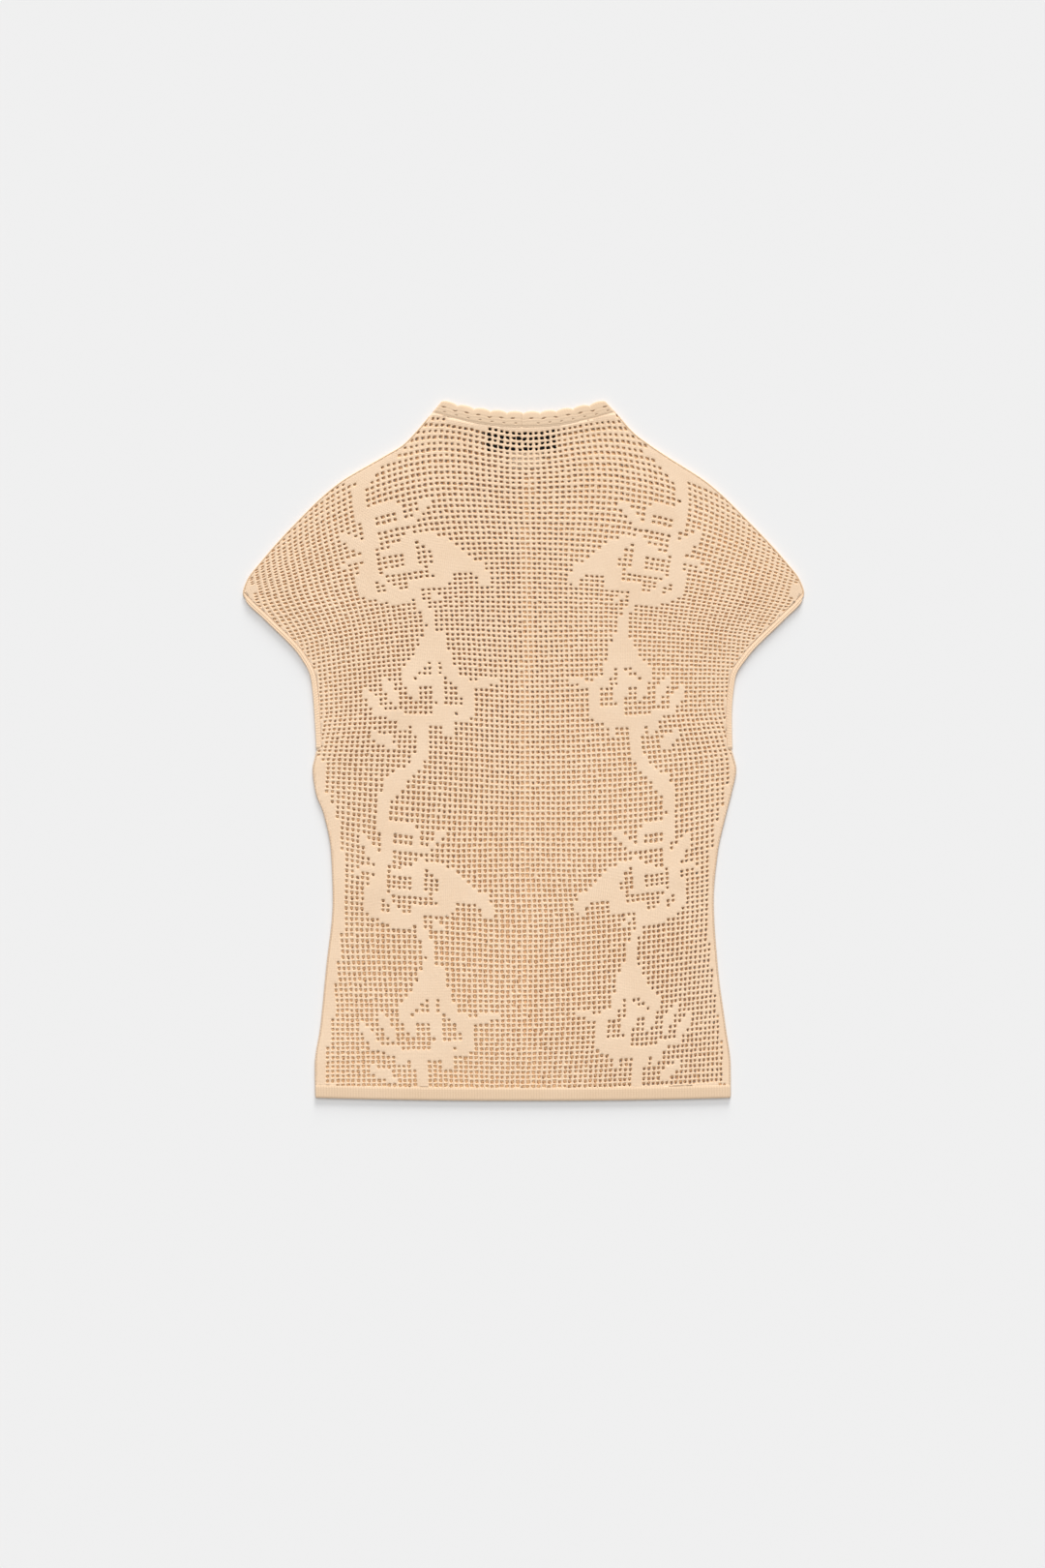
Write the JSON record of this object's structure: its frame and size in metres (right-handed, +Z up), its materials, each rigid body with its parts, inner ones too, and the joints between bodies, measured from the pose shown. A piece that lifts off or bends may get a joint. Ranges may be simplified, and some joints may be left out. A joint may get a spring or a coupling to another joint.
{
  "type": "openwork knit top",
  "caption": "Short cap-sleeved openwork knit top laid flat on its front, back upwards, with a scalloped funnel neckband, sleeve edgings, a ribbed hem band and a blank neck label.",
  "frame": {"origin": "centre of the laid top's box, on the surface that it lies on", "axes": "+Z up from the surface, +Y from the hem towards the neck, +X to the viewer's right with the back of the top upwards"},
  "size_m": [0.4928, 0.6149, 0.0052],
  "materials": {
    "net_knit": "soft matt openwork knit in pale peach yarn",
    "band_knit": "soft matt close knit in the same yarn",
    "dark_label": "woven label tape, matt black",
    "pale_tab": "woven tape, pale"
  },
  "bodies": {
    "root": {"back_panel": "net_knit", "front_panel": "net_knit", "hem_band_back": "band_knit", "hem_band_front": "band_knit", "left_sleeve_band": "band_knit", "right_sleeve_band": "band_knit", "neckband": "band_knit", "neck_label": "dark_label", "size_tab": "pale_tab"}
  },
  "joints": []
}
